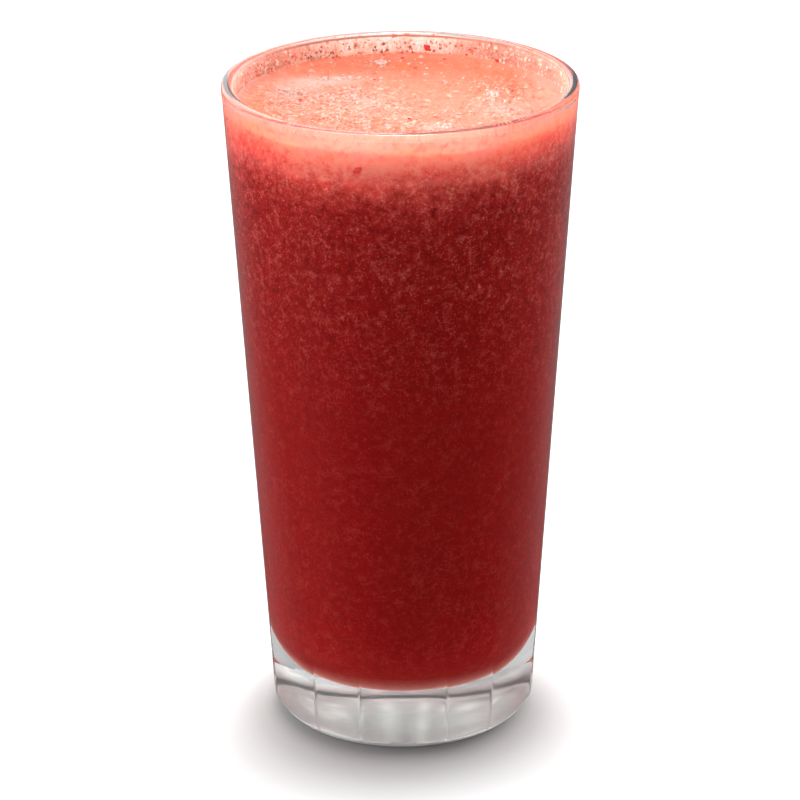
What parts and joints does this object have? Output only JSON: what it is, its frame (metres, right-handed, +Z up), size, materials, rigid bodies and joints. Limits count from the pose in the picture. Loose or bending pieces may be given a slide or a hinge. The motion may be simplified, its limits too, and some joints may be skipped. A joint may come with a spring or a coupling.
{
  "type": "mixed berry juice in a glass",
  "caption": "Tall flaring glass tumbler with a thick, softly panelled clear foot, filled with dark red mixed berry juice under a pale pink head of froth.",
  "frame": {"origin": "middle of the foot, on the surface that the glass stands on", "axes": "+Z up along the glass, -Y towards the viewer of the picture, a panel of the foot facing -Y"},
  "size_m": [0.0818, 0.0818, 0.156],
  "materials": {
    "clear_glass": "clear, polished, colourless",
    "juice": "wet dark berry red with fine paler grain, paler towards the top",
    "froth": "fine salmon pink foam with small bubbles, white patches and berry flecks"
  },
  "bodies": {
    "root": {"glass": "clear_glass", "juice": "juice", "froth": "froth"}
  },
  "joints": []
}
